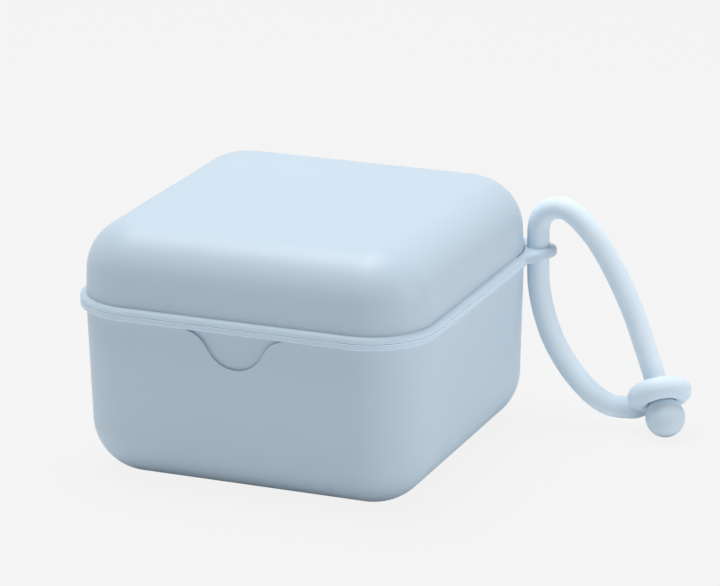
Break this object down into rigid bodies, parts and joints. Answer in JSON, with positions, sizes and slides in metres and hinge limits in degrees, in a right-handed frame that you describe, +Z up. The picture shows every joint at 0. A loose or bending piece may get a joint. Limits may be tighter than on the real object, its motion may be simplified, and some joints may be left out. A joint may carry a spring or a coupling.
{
  "type": "pacifier box",
  "caption": "Rounded square pacifier box with a hinged lid, a thumb recess under a raised band and a silicone strap through a corner ear.",
  "frame": {"origin": "centre of the box's flat underside, on the surface that it stands on", "axes": "+Z up, front with the thumb recess towards -Y, hinge towards +Y, strap ear at the +X +Y corner"},
  "size_m": [0.1187, 0.0876, 0.0573],
  "materials": {
    "box_plastic": "fine matt polypropylene, pale baby blue",
    "pin_plastic": "smooth acetal rod, pale baby blue",
    "strap_silicone": "soft matt silicone, pale baby blue"
  },
  "bodies": {
    "base": {"base_shell": "box_plastic", "hinge_pin": "pin_plastic"},
    "lid": {"lid_shell": "box_plastic"},
    "strap": {"strap_cord_upper": "strap_silicone", "strap_cord_lower": "strap_silicone", "strap_eyelet": "strap_silicone", "strap_ball": "strap_silicone"}
  },
  "joints": [
    {"name": "lid_hinge", "type": "hinge", "parent": "base", "child": "lid", "pos_m": [0, 0.044, 0.03963], "axis": [-1, 0, 0], "range_deg": [0, 110]},
    {"name": "strap_swivel", "type": "hinge", "parent": "base", "child": "strap", "pos_m": [0.04141, 0.03402, 0.0398], "axis": [0, 0, 1], "range_deg": [-45, 30]}
  ]
}
